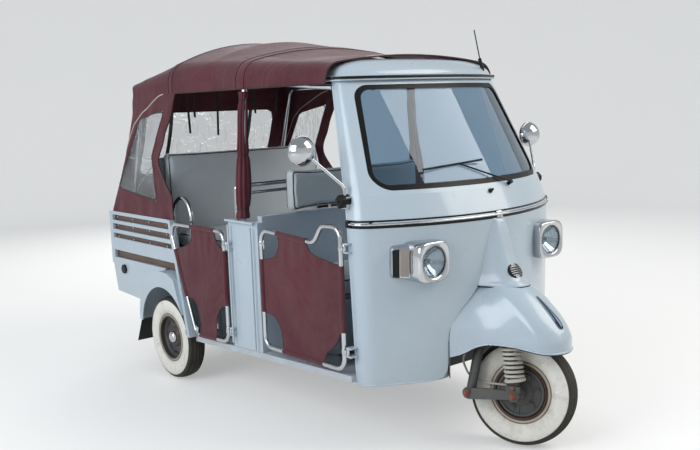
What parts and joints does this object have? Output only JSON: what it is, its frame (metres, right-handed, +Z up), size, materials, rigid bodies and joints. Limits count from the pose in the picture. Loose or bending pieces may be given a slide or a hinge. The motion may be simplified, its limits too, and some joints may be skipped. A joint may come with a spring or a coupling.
{
  "type": "auto rickshaw",
  "caption": "Three-wheeled open passenger carrier with a steel cab front, bow windscreen, canvas hood, laced canvas doors and slatted rear sides.",
  "frame": {"origin": "on the ground under the middle of the vehicle's bounding box", "axes": "+X forward, +Y to the vehicle's left, +Z up"},
  "size_m": [3.186, 1.668, 1.9548],
  "materials": {
    "body_paint": "gloss pale blue-grey paint",
    "floor_paint": "satin paint, scuffed",
    "dark_steel": "satin dark grey paint, dusty",
    "wheel_steel": "paint with rust at the edges",
    "spring_paint": "white paint on the coils",
    "tyre": "black rubber with a white sidewall band",
    "black_rubber": "matt black",
    "glass": "clear",
    "clear_sheet": "crinkled clear plastic sheet",
    "chrome": "polished",
    "vinyl": "light grey vinyl with black piping",
    "wood": "dark varnished planks",
    "lamp_red": "red lens",
    "canvas": "maroon coated canvas"
  },
  "bodies": {
    "body": {"chassis_frame": "dark_steel", "rear_arms": "dark_steel", "engine_block": "dark_steel", "exhaust": "dark_steel", "windscreen_gasket": "black_rubber", "mud_flaps": "black_rubber", "wiper": "black_rubber", "dashboard": "black_rubber", "aerial": "black_rubber", "filler_cap": "black_rubber", "front_mudguard": "body_paint", "cab_front": "body_paint", "cab_roof": "body_paint", "nose_cone": "body_paint", "side_posts": "body_paint", "seat_box": "body_paint", "bench_box": "body_paint", "side_panels": "body_paint", "rear_fenders": "body_paint", "rear_panel": "body_paint", "floor_pan": "floor_paint", "windscreen_glass": "glass", "front_trim": "chrome", "headlights": "chrome", "mirrors": "chrome", "canopy_frame": "chrome", "grab_rails": "chrome", "armrests": "chrome", "driver_seat": "vinyl", "driver_backrest": "vinyl", "passenger_seat": "vinyl", "passenger_backrest": "vinyl", "wood_planks": "wood", "tail_lamps": "lamp_red", "canopy_top": "canvas", "rear_curtain": "canvas", "rolled_curtains": "canvas", "hood_windows": "clear_sheet"},
    "steering": {"steering_fork": "dark_steel", "handlebar": "chrome", "front_link": "dark_steel", "front_spring": "spring_paint", "brake_plate": "dark_steel", "brake_cable": "spring_paint"},
    "front_wheel": {"front_tyre": "tyre", "front_rim": "wheel_steel"},
    "rear_wheel_right": {"rear_tyre_right": "tyre", "rear_rim_right": "wheel_steel"},
    "rear_wheel_left": {"rear_tyre_left": "tyre", "rear_rim_left": "wheel_steel"},
    "front_door_right": {"driver_door_right": "canvas"},
    "front_door_left": {"driver_door_left": "canvas"},
    "side_door_right": {"passenger_door_right": "canvas"},
    "side_door_left": {"passenger_door_left": "canvas"},
    "engine_lid": {"rear_lid": "body_paint"}
  },
  "joints": [
    {"name": "steering_turn", "type": "hinge", "parent": "body", "child": "steering", "pos_m": [1.285, 0, 0.24499], "axis": [-0.342, 0, 0.9397], "range_deg": [-64, 16]},
    {"name": "front_wheel_spin", "type": "hinge", "parent": "steering", "child": "front_wheel", "pos_m": [1.32195, 0.01529, 0.24388], "axis": [-0.3822, 0.9135, -0.1391], "continuous": true},
    {"name": "rear_wheel_right_spin", "type": "hinge", "parent": "body", "child": "rear_wheel_right", "pos_m": [-0.765, -0.625, 0.245], "axis": [0, 1, 0], "continuous": true},
    {"name": "rear_wheel_left_spin", "type": "hinge", "parent": "body", "child": "rear_wheel_left", "pos_m": [-0.765, 0.625, 0.245], "axis": [0, 1, 0], "continuous": true},
    {"name": "front_door_right_swing", "type": "hinge", "parent": "body", "child": "front_door_right", "pos_m": [0.89, -0.662, 0.6], "axis": [0, 0, 1], "range_deg": [0, 80]},
    {"name": "front_door_left_swing", "type": "hinge", "parent": "body", "child": "front_door_left", "pos_m": [0.89, 0.662, 0.6], "axis": [0, 0, -1], "range_deg": [0, 80]},
    {"name": "side_door_right_swing", "type": "hinge", "parent": "body", "child": "side_door_right", "pos_m": [-0.094, -0.662, 0.6], "axis": [0, 0, 1], "range_deg": [0, 80]},
    {"name": "side_door_left_swing", "type": "hinge", "parent": "body", "child": "side_door_left", "pos_m": [-0.094, 0.662, 0.6], "axis": [0, 0, -1], "range_deg": [0, 80]},
    {"name": "engine_lid_swing", "type": "hinge", "parent": "body", "child": "engine_lid", "pos_m": [-1.583, 0, 0.726], "axis": [0, 1, 0], "range_deg": [0, 80]}
  ]
}
